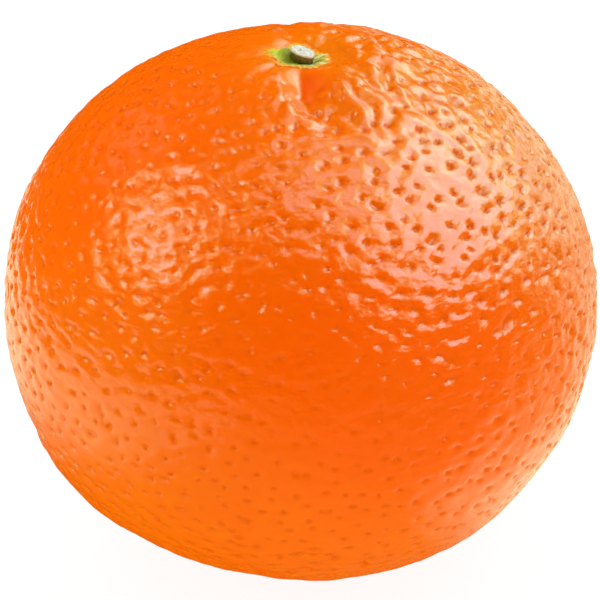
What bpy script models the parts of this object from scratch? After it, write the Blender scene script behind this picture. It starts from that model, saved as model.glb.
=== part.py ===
"""A whole mandarin orange as picked: the fruit in its pitted peel, the green calyx that stayed on it, and the
cut stub of its stem.

Metres, +Z up. The origin lies on the surface that the fruit rests on, under the middle of the box round it,
and -Y is its front. Angles round the fruit's axis are in degrees, with 0 at +X and 270 at the front.
"""

import math
import random

import bmesh
import bpy
from mathutils import Matrix, Quaternion, Vector

MM = 0.001

# The fruit's body, a flattened ball with slightly full shoulders
EQUATOR_RADIUS = 35.0 * MM
POLE_RADIUS = 32.2 * MM
SQUARENESS = 2.08

# Broad swellings and hollows that make the body uneven: angle round the axis, angle above the equator and
# half width in degrees, then height in millimetres. They fade out at the stem and at the resting spot.
SWELLINGS = [
    (315, -53, 34, 0.66),
    (226, -56, 16, -0.30),
    (15, 27, 22, -0.40),
    (96, 58, 24, -0.45),
    (150, -15, 30, 0.25),
    (62, -30, 24, 0.20),
]
SWELLING_START = 6.0 * MM
SWELLING_FULL = 15.0 * MM

# The small flat spot that it rests on, with the scar of the blossom in its middle
REST_SPOT_RADIUS = 8.5 * MM
SCAR_RADIUS = 3.0 * MM
SCAR_DEPTH = 0.8 * MM

# The stem end: a shallow dip inside a low swelling, cut by furrows that run outwards
DIP_DEPTH = 1.5 * MM
DIP_RADIUS = 4.6 * MM
COLLAR_HEIGHT = 0.55 * MM
COLLAR_RADIUS = 8.5 * MM
COLLAR_WIDTH = 4.2 * MM
FURROW_START = 2.6 * MM
FURROW_SPREAD = 0.11
FURROW_FADE = 0.45
# Each furrow's angle, then its depth, half width at the dip and reach from the axis, in millimetres
FURROWS = [
    (14, 0.40, 0.55, 13.0),
    (52, 0.45, 0.60, 12.0),
    (101, 0.70, 0.70, 17.0),
    (146, 0.35, 0.55, 11.0),
    (189, 0.45, 0.60, 13.5),
    (231, 0.40, 0.50, 12.5),
    (281, 0.85, 0.75, 15.0),
    (316, 0.30, 0.50, 11.5),
    (342, 0.55, 0.60, 14.0),
]

# The oil pits of the peel, larger than life: each is a hollow with a rim of its own
PIT_COUNT = 860
PIT_RADIUS = 1.2 * MM
PIT_RADIUS_SPREAD = 0.18
PIT_DEPTH = 0.45 * MM
PIT_SIDES = 5
PIT_JITTER = 0.075
PIT_SEED = 41
PITS_BEGIN = 13.2 * MM
PITS_FULL = 17.0 * MM
PITS_FIRST_SHARE = 0.4
PITS_END = REST_SPOT_RADIUS + 2.0 * MM

# The smooth crown's and the flat spot's corners: rings round the axis, in millimetres
CROWN_RINGS = [1.6, 3.2, 4.4, 5.6, 6.9, 8.3, 9.8, 11.3]
CROWN_COLUMNS = 48
SPOT_COLUMNS = 36

# The calyx: a low green hub with five pointed lobes that lie in the dip
CALYX_GAP = 0.3 * MM
HUB_RADIUS = 2.75 * MM
HUB_HEIGHT = 1.35 * MM
HUB_LEAN = 0.32
HUB_ROUNDING = 0.14 * MM
LOBE_THICKNESS = 0.62 * MM
# Each lobe's angle, then its length from the axis in millimetres
LOBES = [(97, 4.3), (176, 4.7), (232, 4.2), (288, 4.4), (352, 4.5)]
LOBE_STEPS = 6
VALLEY_RADIUS = 3.05 * MM
LOBE_SHARPNESS = 1.35
# The rings of points on a lobe's top: share of the way from hub to edge, and share of the thickness
LOBE_TOP_RINGS = [(0.30, 1.12), (0.65, 1.00), (1.00, 0.80)]
# The rings below it, each at a share of the edge's distance from the axis
LOBE_UNDER_RINGS = [1.00, 0.66, 0.33]

# The stub of the stem, which stands in a socket in the hub and is cut on a slant
STEM_SHIFT = 0.40 * MM
SOCKET_RADIUS = 2.0 * MM
SOCKET_DEPTH = 0.60 * MM
STEM_RADIUS = 1.65 * MM
STEM_WAIST = 1.48 * MM
STEM_WAIST_SHARE = 0.55
STEM_CUT_HEIGHT = 2.45 * MM
STEM_CUT_SLANT = 0.30
STEM_CHAMFER = 0.15 * MM
STEM_RIDGE = 0.04
STEM_COLUMNS = 24
STEM_RIDGES = 5

# Each finish: its name, its linear colour and its roughness
PEEL = ("peel", (0.95, 0.22, 0.004), 0.42)
CALYX_GREEN = ("calyx_green", (0.27, 0.31, 0.03), 0.70)
CUT_WOOD = ("cut_wood", (0.66, 0.60, 0.44), 0.80)

SHARP_ANGLE = math.radians(50)


def clear_scene():
    for old in list(bpy.data.objects):
        bpy.data.objects.remove(old)


def smooth_step(value, start, end):
    """0 before start, 1 after end, and a smooth rise between them."""
    share = min(1.0, max(0.0, (value - start) / (end - start)))
    return share * share * (3 - 2 * share)


def superellipse(horizontal, vertical):
    """The ball's distance from its axis and its height, for a direction on the unit sphere."""
    power = 2 / SQUARENESS
    radius = EQUATOR_RADIUS * abs(horizontal) ** power
    height = POLE_RADIUS * math.copysign(abs(vertical) ** power, vertical)
    return radius, height


def direction_at(radius, side):
    """The unit direction, as its parts across and along the axis, whose point of the ball lies this far from
    the axis, on the upper side (1) or the lower (-1)."""
    horizontal = (radius / EQUATOR_RADIUS) ** (SQUARENESS / 2)
    return horizontal, side * math.sqrt(1 - horizontal**2)


BASE_DROP = -superellipse(*direction_at(REST_SPOT_RADIUS, -1))[1]


def furrow_depth(distance, angle):
    """How deep the stem end's furrows are at this distance from the axis, in metres."""
    depth = 0.0
    for furrow_angle, deep, half_width, reach in FURROWS:
        turn = math.remainder(angle - math.radians(furrow_angle), math.tau)
        if abs(turn) > math.pi / 2:
            continue
        across = distance * math.sin(turn)
        width = half_width * MM + FURROW_SPREAD * distance
        begins = smooth_step(distance, FURROW_START, 2 * FURROW_START)
        ends = 1 - smooth_step(distance, FURROW_FADE * reach * MM, reach * MM)
        depth += deep * MM * begins * ends * math.exp(-((across / width) ** 2))
    return depth


def crown_rise(distance, angle):
    """What the dip, the swelling and the furrows add to the ball's height near the stem, in metres."""
    dip = DIP_DEPTH * math.exp(-((distance / DIP_RADIUS) ** 2))
    collar = COLLAR_HEIGHT * math.exp(-(((distance - COLLAR_RADIUS) / COLLAR_WIDTH) ** 2))
    return collar - dip - furrow_depth(distance, angle)


def unit_vector(around, above):
    """The direction at these angles, in degrees, round the axis and above the equator."""
    around, above = math.radians(around), math.radians(above)
    return Vector((math.cos(around) * math.cos(above), math.sin(around) * math.cos(above), math.sin(above)))


def swelling(direction, distance):
    """How far the uneven body stands proud of the even one in this direction, in metres."""
    proud = 0.0
    for around, above, half_width, height in SWELLINGS:
        away = math.degrees(direction.angle(unit_vector(around, above)))
        proud += height * MM * math.exp(-((away / half_width) ** 2))
    return proud * smooth_step(distance, SWELLING_START, SWELLING_FULL)


def skin_point(direction):
    """The point of the smooth skin for a unit direction, before the oil pits."""
    distance, height = superellipse(math.hypot(direction.x, direction.y), direction.z)
    angle = math.atan2(direction.y, direction.x)
    if direction.z > 0:
        height += crown_rise(distance, angle)
    point = Vector((distance * math.cos(angle), distance * math.sin(angle), height + BASE_DROP))
    point += direction * swelling(direction, distance)
    point.z = max(point.z, 0.0)
    return point


def ring_directions(radius, side, columns, twist=0.0):
    """Evenly spaced directions whose points lie at this distance from the axis."""
    horizontal, vertical = direction_at(radius, side)
    for column in range(columns):
        angle = math.tau * (column + twist) / columns
        yield Vector((horizontal * math.cos(angle), horizontal * math.sin(angle), vertical))


def round_ring(middle, reach, count, twist):
    """Directions evenly spaced on a small circle, at this angle in radians from the one in its middle."""
    aside = middle.orthogonal().normalized()
    for step in range(count):
        turned = Quaternion(middle, math.tau * (step + twist) / count) @ aside
        yield middle * math.cos(reach) + turned * math.sin(reach)


def is_pitted(direction):
    """Whether the peel has pits here: not on the crown round the stem, and not on the flat spot."""
    distance = EQUATOR_RADIUS * math.hypot(direction.x, direction.y)
    return distance > (PITS_BEGIN if direction.z > 0 else PITS_END)


def pit_corners():
    """The peel's corners as (direction, is the bottom of a pit): each pit's bottom and then its rim. The pits
    follow a golden-angle spiral, and each is then moved a little at random."""
    draw = random.Random(PIT_SEED)
    golden_angle = math.pi * (3 - math.sqrt(5))
    spacing = math.sqrt(4 * math.pi / PIT_COUNT)
    corners = []
    for index in range(PIT_COUNT):
        vertical = 1 - (2 * index + 1) / PIT_COUNT
        horizontal = math.sqrt(1 - vertical**2)
        angle = golden_angle * index
        place = Vector((horizontal * math.cos(angle), horizontal * math.sin(angle), vertical))
        shift = Vector([draw.gauss(0, PIT_JITTER * spacing) for axis in range(3)])
        reach = PIT_RADIUS / EQUATOR_RADIUS * draw.uniform(1 - PIT_RADIUS_SPREAD, 1 + PIT_RADIUS_SPREAD)
        twist = draw.random()
        place = (place + shift).normalized()
        if is_pitted(place):
            corners.append((place, True))
            corners += [(rim, False) for rim in round_ring(place, reach, PIT_SIDES, twist)]
    return corners


def smooth_corners():
    """The corners of the crown round the stem and of the flat spot, which have no pits."""
    corners = [(Vector((0, 0, 1)), False), (Vector((0, 0, -1)), False)]
    for row, ring in enumerate(CROWN_RINGS):
        corners += [(place, False) for place in ring_directions(ring * MM, 1, CROWN_COLUMNS, row % 2 / 2)]
    for ring in (SCAR_RADIUS / 2, SCAR_RADIUS, REST_SPOT_RADIUS):
        corners += [(place, False) for place in ring_directions(ring, -1, SPOT_COLUMNS)]
    return corners


def hull_of(corners):
    """The triangle mesh round these directions on the unit sphere. A mark tells the bottoms of the pits."""
    mesh = bmesh.new()
    mark = mesh.verts.layers.int.new("pit")
    for direction, is_pit in corners:
        mesh.verts.new(direction)[mark] = is_pit
    bmesh.ops.convex_hull(mesh, input=mesh.verts)
    return mesh


def pit_depth(direction):
    """How deep a pit is in this direction, in metres: shallower close to the stem end's furrows."""
    if direction.z < 0:
        return PIT_DEPTH
    distance = EQUATOR_RADIUS * math.hypot(direction.x, direction.y)
    share = smooth_step(distance, PITS_BEGIN, PITS_FULL)
    return PIT_DEPTH * (PITS_FIRST_SHARE + (1 - PITS_FIRST_SHARE) * share)


def scar_rise(point):
    """How far the blossom's scar stands up inside the flat spot at this point, in metres."""
    distance = math.hypot(point.x, point.y)
    if point.z > 0 or distance >= SCAR_RADIUS:
        return 0.0
    return SCAR_DEPTH * (1 - (distance / SCAR_RADIUS) ** 2)


def add_object(name, mesh, finish):
    """Turns a bmesh into one named object with its own material."""
    slot, colour, roughness = finish
    bmesh.ops.recalc_face_normals(mesh, faces=mesh.faces)
    data = bpy.data.meshes.new(name)
    mesh.to_mesh(data)
    mesh.free()
    data.shade_smooth()
    data.set_sharp_from_angle(angle=SHARP_ANGLE)
    material = bpy.data.materials.new(slot)
    material.use_nodes = True
    shader = material.node_tree.nodes["Principled BSDF"]
    shader.inputs["Base Color"].default_value = (*colour, 1)
    shader.inputs["Roughness"].default_value = roughness
    shader.inputs["Metallic"].default_value = 0
    data.materials.append(material)
    made = bpy.data.objects.new(name, data)
    bpy.context.scene.collection.objects.link(made)
    return made


def make_fruit():
    """The fruit: one closed body, pushed in at the bottom of every oil pit."""
    mesh = hull_of(pit_corners() + smooth_corners())
    mark = mesh.verts.layers.int["pit"]
    for corner in mesh.verts:
        direction = corner.co.normalized()
        point = skin_point(direction) - direction * pit_depth(direction) * corner[mark]
        point.z += scar_rise(point)
        corner.co = point
    return add_object("fruit", mesh, PEEL)


def dip_height(distance, angle):
    """The skin's height at this distance from the axis, near the stem."""
    horizontal, vertical = direction_at(distance, 1)
    return superellipse(horizontal, vertical)[1] + BASE_DROP + crown_rise(distance, angle)


def lobe_columns():
    """The calyx's outline as (angle, distance): from each hollow between two lobes out to a tip and back."""
    columns = []
    for index, (tip, length) in enumerate(LOBES):
        before = LOBES[index - 1][0] - (360 if index == 0 else 0)
        after = LOBES[(index + 1) % len(LOBES)][0] + (360 if index == len(LOBES) - 1 else 0)
        starts, ends = (before + tip) / 2, (tip + after) / 2
        for step in range(2 * LOBE_STEPS):
            share = step / LOBE_STEPS
            angle = starts + (tip - starts) * share if share < 1 else tip + (ends - tip) * (share - 1)
            height = (1 - abs(share - 1)) ** LOBE_SHARPNESS
            distance = VALLEY_RADIUS + (length * MM - VALLEY_RADIUS) * height
            columns.append((math.radians(angle), distance))
    return columns


def polar_body(rings):
    """A closed body from rings of points with one column each, listed from the middle of one side, over the
    rim, to the middle of the other. The first and last entries are single points."""
    mesh = bmesh.new()
    start = mesh.verts.new(rings[0])
    end = mesh.verts.new(rings[-1])
    rows = [[mesh.verts.new(point) for point in ring] for ring in rings[1:-1]]
    count = len(rows[0])
    for column in range(count):
        after = (column + 1) % count
        mesh.faces.new((start, rows[0][column], rows[0][after]))
        for inner, outer in zip(rows, rows[1:]):
            mesh.faces.new((inner[column], outer[column], outer[after]))
            mesh.faces.new((inner[column], outer[after], inner[after]))
        mesh.faces.new((rows[-1][column], end, rows[-1][after]))
    return mesh


def make_calyx():
    """The calyx: socket, hub and lobes above, and the dip's own shape below."""
    columns = lobe_columns()
    lowest = dip_height(0.0, 0.0) + CALYX_GAP
    floor = lowest + HUB_HEIGHT - SOCKET_DEPTH

    def at(angle, distance, height):
        return Vector((distance * math.cos(angle), distance * math.sin(angle), height))

    def socket_ring(height):
        middle = Vector((STEM_SHIFT, 0, 0))
        return [at(angle, SOCKET_RADIUS, height(angle)) + middle for angle, _ in columns]

    def hub_top(angle):
        return lowest + HUB_HEIGHT * (1 - HUB_LEAN * math.cos(angle))

    def hub_ring(distance, drop):
        return [at(angle, distance, hub_top(angle) - drop) for angle, _ in columns]

    def lobe_ring(share, thickness):
        points = []
        for angle, outline in columns:
            distance = HUB_RADIUS + (outline - HUB_RADIUS) * share
            points.append(at(angle, distance, dip_height(distance, angle) + CALYX_GAP + thickness))
        return points

    def under_ring(share):
        return [
            at(angle, outline * share, dip_height(outline * share, angle) + CALYX_GAP)
            for angle, outline in columns
        ]

    rings = [
        at(0, STEM_SHIFT, floor),
        socket_ring(lambda angle: floor),
        socket_ring(hub_top),
        hub_ring(HUB_RADIUS, HUB_ROUNDING),
        *[lobe_ring(share, thickness * LOBE_THICKNESS) for share, thickness in LOBE_TOP_RINGS],
        *[under_ring(share) for share in LOBE_UNDER_RINGS],
        at(0, 0, lowest),
    ]
    return add_object("calyx", polar_body(rings), CALYX_GREEN)


def make_stem():
    """The stub: a short, faintly ridged stalk, widest at its foot, with a slanted cut across its top."""
    foot = dip_height(0.0, 0.0) + CALYX_GAP + HUB_HEIGHT - SOCKET_DEPTH + CALYX_GAP
    cut = dip_height(0.0, 0.0) + STEM_CUT_HEIGHT

    def ring(radius, share, drop=0.0):
        points = []
        for column in range(STEM_COLUMNS):
            angle = math.tau * column / STEM_COLUMNS
            out = radius * (1 + STEM_RIDGE * math.cos(STEM_RIDGES * angle))
            x, y = out * math.cos(angle), out * math.sin(angle)
            top = cut - STEM_CUT_SLANT * x - drop
            points.append(Vector((STEM_SHIFT + x, y, foot + (top - foot) * share)))
        return points

    rings = [
        Vector((STEM_SHIFT, 0, cut)),
        ring(STEM_RADIUS - STEM_CHAMFER, 1.0),
        ring(STEM_RADIUS, 1.0, STEM_CHAMFER),
        ring(STEM_WAIST, STEM_WAIST_SHARE),
        ring(STEM_RADIUS, 0.0),
        Vector((STEM_SHIFT, 0, foot)),
    ]
    return add_object("stem", polar_body(rings), CUT_WOOD)


def centre_over_origin(pieces):
    """Moves the pieces level until the box round them all is centred over the origin."""
    corners = [corner.co for piece in pieces for corner in piece.data.vertices]
    across = [(min(c[axis] for c in corners) + max(c[axis] for c in corners)) / 2 for axis in (0, 1)]
    for piece in pieces:
        piece.data.transform(Matrix.Translation((-across[0], -across[1], 0)))


def make_mandarin():
    clear_scene()
    centre_over_origin([make_fruit(), make_calyx(), make_stem()])


make_mandarin()
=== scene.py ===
import math

import bpy
import numpy as np
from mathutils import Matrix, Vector, geometry, kdtree, noise


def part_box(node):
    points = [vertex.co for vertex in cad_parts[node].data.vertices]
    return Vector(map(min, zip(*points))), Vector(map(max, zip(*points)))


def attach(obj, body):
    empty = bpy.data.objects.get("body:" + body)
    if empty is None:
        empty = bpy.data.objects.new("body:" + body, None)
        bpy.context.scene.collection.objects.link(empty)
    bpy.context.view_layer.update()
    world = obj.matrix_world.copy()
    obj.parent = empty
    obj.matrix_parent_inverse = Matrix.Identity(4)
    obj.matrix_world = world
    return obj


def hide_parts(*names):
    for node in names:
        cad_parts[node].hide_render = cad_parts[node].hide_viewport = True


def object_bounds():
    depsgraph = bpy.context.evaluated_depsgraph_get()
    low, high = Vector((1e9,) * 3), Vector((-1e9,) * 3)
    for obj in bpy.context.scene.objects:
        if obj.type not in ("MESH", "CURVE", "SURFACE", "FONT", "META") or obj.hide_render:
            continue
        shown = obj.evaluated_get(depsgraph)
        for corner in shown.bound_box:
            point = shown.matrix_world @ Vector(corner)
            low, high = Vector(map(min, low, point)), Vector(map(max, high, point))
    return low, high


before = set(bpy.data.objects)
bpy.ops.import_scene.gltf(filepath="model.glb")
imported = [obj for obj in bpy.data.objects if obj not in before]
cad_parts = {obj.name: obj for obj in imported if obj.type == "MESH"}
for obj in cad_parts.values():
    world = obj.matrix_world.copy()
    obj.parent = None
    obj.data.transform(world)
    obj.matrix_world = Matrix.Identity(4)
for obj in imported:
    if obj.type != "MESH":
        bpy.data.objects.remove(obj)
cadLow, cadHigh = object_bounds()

mm = 0.001
scene = bpy.context.scene
scene.view_settings.view_transform = "Standard"
print("frame loaded:", sorted(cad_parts))


# The whole fruit's form: that of its solids, with a deeper dip and sharper folds at the stem end
body = {
    "equatorRadius": 35.0 * mm,
    "poleRadius": 32.2 * mm,
    "squareness": 2.08,
    # round the axis, above the equator and half width in degrees, then height in mm
    "swellings": [
        (315, -53, 34, 0.66), (226, -56, 16, -0.15), (15, 27, 22, -0.40),
        (96, 58, 24, -0.45), (150, -15, 30, 0.25), (62, -30, 24, 0.20),
        (90, 84, 30, -0.30), (159, 35, 14, -0.40), (21, 38, 10, -0.22), (335, -39, 14, -0.25),
        (204, -39, 15, 0.50), (262, -61, 22, -0.25),
    ],
    "swellingStart": 6.0 * mm,
    "swellingFull": 15.0 * mm,
    "restSpotRadius": 8.5 * mm,
    "scarRadius": 3.0 * mm,
    "scarDepth": 0.8 * mm,
    "dipDepth": 2.1 * mm,
    "dipRadius": 3.8 * mm,
    "dipSide": (345, 0.18),  # where the dip is widest, in degrees, and by what share
    "dipFront": (272, 35, 0.27),  # where it is narrower, over how many degrees, and by what share
    "collarHeight": 0.35 * mm,
    "collarSide": 330,  # where the collar is highest, in degrees
    "collarRadius": 8.5 * mm,
    "collarWidth": 4.2 * mm,
    "furrowStart": 2.6 * mm,
    "furrowSpread": 0.11,
    "furrowFade": 0.45,
    # angle, depth, half width at the dip and reach from the axis, in mm
    "furrows": [
        (14, 0.40, 0.55, 13.0), (52, 0.45, 0.60, 12.0), (101, 0.70, 0.70, 17.0),
        (146, 0.35, 0.55, 11.0), (189, 0.45, 0.60, 13.5), (231, 0.40, 0.50, 12.5),
        (316, 0.30, 0.50, 11.5), (342, 0.55, 0.60, 14.0),
    ],
    "furrowEdge": 0.5,  # 0 for a rounded bottom, 1 for a sharp one
    "sharpWidth": 0.7,  # a sharp bottom's width, as a share of a rounded one's
    # the fold in front, with a steep wall on its left and a gentle one on its right that widens outwards
    "foldAngle": 270,
    "foldBend": (13, 8.0 * mm, 17.0 * mm),  # by how many degrees, and between which distances
    "foldDepth": 1.8 * mm,
    "foldLeft": 2.4 * mm,
    "foldRight": (2.6 * mm, 0.17),
    "foldRounding": 0.05,
    "foldBegins": (1.2 * mm, 8.0 * mm),
    "foldEnds": (8.5 * mm, 21.0 * mm),
}


def easeBetween(value, start, end):
    share = np.clip((value - start) / (end - start), 0.0, 1.0)
    return share * share * (3 - 2 * share)


def between(ends, share):
    # the first end for a share of 0, the second for 1
    return ends[0] + (ends[1] - ends[0]) * share


def hump(off, halfWidth):
    # 1 in the middle, falling smoothly on both sides
    return np.exp(-((off / halfWidth) ** 2))


def turnFrom(angle, at):
    # how far the angle lies from this one, up to half a turn either way
    return np.mod(angle - at + math.pi, math.tau) - math.pi


def facing(angle, side):
    # 1 on the side at this many degrees, 0 on the opposite one
    return 0.5 + 0.5 * np.cos(angle - math.radians(side))


def wayTo(around, above):
    # the unit direction at these degrees round the axis and above the equator
    a, b = math.radians(around), math.radians(above)
    return np.array([math.cos(a) * math.cos(b), math.sin(a) * math.cos(b), math.sin(b)])


def patchShare(directions, patches):
    # the sum of round soft patches on the fruit, for each direction
    share = np.zeros(len(directions))
    for around, above, halfWidth, height in patches:
        away = np.degrees(np.arccos(np.clip(directions @ wayTo(around, above), -1, 1)))
        share += height * hump(away, halfWidth)
    return share


def ballProfile(across, along):
    # distance from the axis and height of the even ball, for parts of a unit direction
    power = 2 / body["squareness"]
    distance = body["equatorRadius"] * np.abs(across) ** power
    return distance, body["poleRadius"] * np.sign(along) * np.abs(along) ** power


def profileAt(distance, side):
    # the parts of the direction that lies this far from the axis, on the upper (1) or lower (-1) side
    across = (distance / body["equatorRadius"]) ** (body["squareness"] / 2)
    return across, side * np.sqrt(1 - across**2)


baseDrop = -ballProfile(*profileAt(body["restSpotRadius"], -1))[1]


def furrowDepth(distance, angle):
    depth = np.zeros_like(distance)
    for at, deep, halfWidth, reach in body["furrows"]:
        turn = turnFrom(angle, math.radians(at))
        across = distance * np.sin(turn)
        width = halfWidth * mm + body["furrowSpread"] * distance
        begins = easeBetween(distance, body["furrowStart"], 2 * body["furrowStart"])
        ends = 1 - easeBetween(distance, body["furrowFade"] * reach * mm, reach * mm)
        sharp = np.exp(-np.abs(across) / (body["sharpWidth"] * width))
        profile = between((hump(across, width), sharp), body["furrowEdge"])
        depth += deep * mm * begins * ends * profile * (np.abs(turn) < math.pi / 2)
    return depth


def foldAcross(distance, angle):
    # how far to the right of the fold's bottom, and whether on the fold's side of the fruit
    bend, first, last = body["foldBend"]
    turn = turnFrom(angle, np.radians(body["foldAngle"] + bend * easeBetween(distance, first, last)))
    return distance * np.sin(turn), np.abs(turn) < math.pi / 2


def foldShare(distance, angle, wider=1.0):
    # how deep in the fold, as a share of its whole depth
    across, near = foldAcross(distance, angle)
    right = body["foldRight"][0] + body["foldRight"][1] * distance
    share = np.where(across < 0, -across / body["foldLeft"], across / right) / wider
    rounding = body["foldRounding"]
    wall = np.clip(1 + rounding - np.sqrt(share**2 + rounding**2), 0, 1)
    begins = easeBetween(distance, *body["foldBegins"])
    ends = 1 - easeBetween(distance, *body["foldEnds"])
    return wall * begins * ends * near


def crownRise(distance, angle):
    # how far the stem end stands above the even ball
    side, wider = body["dipSide"]
    front, spread, narrower = body["dipFront"]
    narrowing = narrower * hump(turnFrom(angle, math.radians(front)), math.radians(spread))
    reach = body["dipRadius"] * (1 + wider * np.cos(angle - math.radians(side)) - narrowing)
    dip = body["dipDepth"] * hump(distance, reach)
    collar = body["collarHeight"] * hump(distance - body["collarRadius"], body["collarWidth"])
    collar *= facing(angle, body["collarSide"])
    return collar - dip - furrowDepth(distance, angle) - body["foldDepth"] * foldShare(distance, angle)


def bodyPoints(directions):
    # the smooth skin's points for unit directions, one row each
    x, y, z = directions.T
    distance, height = ballProfile(np.hypot(x, y), z)
    angle = np.arctan2(y, x)
    height = height + np.where(z > 0, crownRise(distance, angle), 0.0)
    points = np.stack([distance * np.cos(angle), distance * np.sin(angle), height + baseDrop], 1)
    proud = mm * patchShare(directions, body["swellings"])
    proud *= easeBetween(distance, body["swellingStart"], body["swellingFull"])
    points += directions * proud[:, None]
    points[:, 2] = np.maximum(points[:, 2], 0.0)
    return points


def dipHeight(distance, angle):
    # the skin's height near the stem
    distance = np.asarray(distance, float)
    height = ballProfile(*profileAt(distance, 1))[1]
    return height + baseDrop + crownRise(distance, np.asarray(angle, float))


def spiralDirections(count):
    index = np.arange(count)
    z = 1 - (2 * index + 1) / count
    angle = index * math.pi * (3 - math.sqrt(5))
    across = np.sqrt(1 - z * z)
    return np.stack([across * np.cos(angle), across * np.sin(angle), z], 1)


def unitRows(rows):
    return rows / np.linalg.norm(rows, axis=1)[:, None]


def sideways(middles):
    # two directions square to each of these and to each other
    steep = 0.9  # above this, a direction is too close to upright to be turned from it
    helper = np.where(np.abs(middles[:, 2:]) < steep, [[0.0, 0.0, 1.0]], [[1.0, 0.0, 0.0]])
    aside = unitRows(np.cross(middles, helper))
    return aside, np.cross(middles, aside)


def ringsRound(middles, reach, columns, twist, longer=1.0):
    # for each middle direction, a small oval of directions at its own reach in radians
    aside, other = sideways(middles)
    turn = (np.arange(columns)[None, :] / columns + twist[:, None]) * math.tau
    longer = np.broadcast_to(longer, len(middles))[:, None, None]
    along = aside[:, None] * np.cos(turn)[..., None] * longer
    across = other[:, None] * np.sin(turn)[..., None] / longer
    rows = middles[:, None] * np.cos(reach)[:, None, None] + (along + across) * np.sin(reach)[:, None, None]
    return rows.reshape(-1, 3)


seedSteps = (7.31, 3.17, 5.77)  # how far each seed moves the noise


def noiseAt(points, size, seed):
    # smooth noise from about -1 to 1, with lumps of this size in metres
    shift = Vector([seed * step for step in seedSteps])
    return np.array([noise.noise(Vector(p) / size + shift) for p in points.tolist()])


def noiseSum(points, layers):
    # each layer is a height, a size and a seed
    return sum(height * noiseAt(points, size, seed) for height, size, seed in layers)


def cadShift(node, points):
    # how far these points' middle lies from the solid's, level only
    low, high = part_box(node)
    middle = [(points[:, k].min() + points[:, k].max()) / 2 for k in (0, 1)]
    return np.array([(low[k] + high[k]) / 2 - middle[k] for k in (0, 1)] + [0.0])


def addPiece(name, points, faces, finish, slot, *nodes):
    data = bpy.data.meshes.new(name)
    data.from_pydata(points.tolist(), [], faces)
    data.validate()
    data.shade_smooth()
    data.materials.append(finish)
    piece = bpy.data.objects.new(name, data)
    scene.collection.objects.link(piece)
    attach(piece, "root")
    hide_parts(*nodes)
    print(name, len(points), "points", len(faces), "faces")
    return piece


def addShares(piece, shares):
    # numbers for each point, which the finishes read by name
    for name, values in shares.items():
        layer = piece.data.attributes.new(name, "FLOAT", "POINT")
        layer.data.foreach_set("value", np.asarray(values, np.float32))


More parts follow.
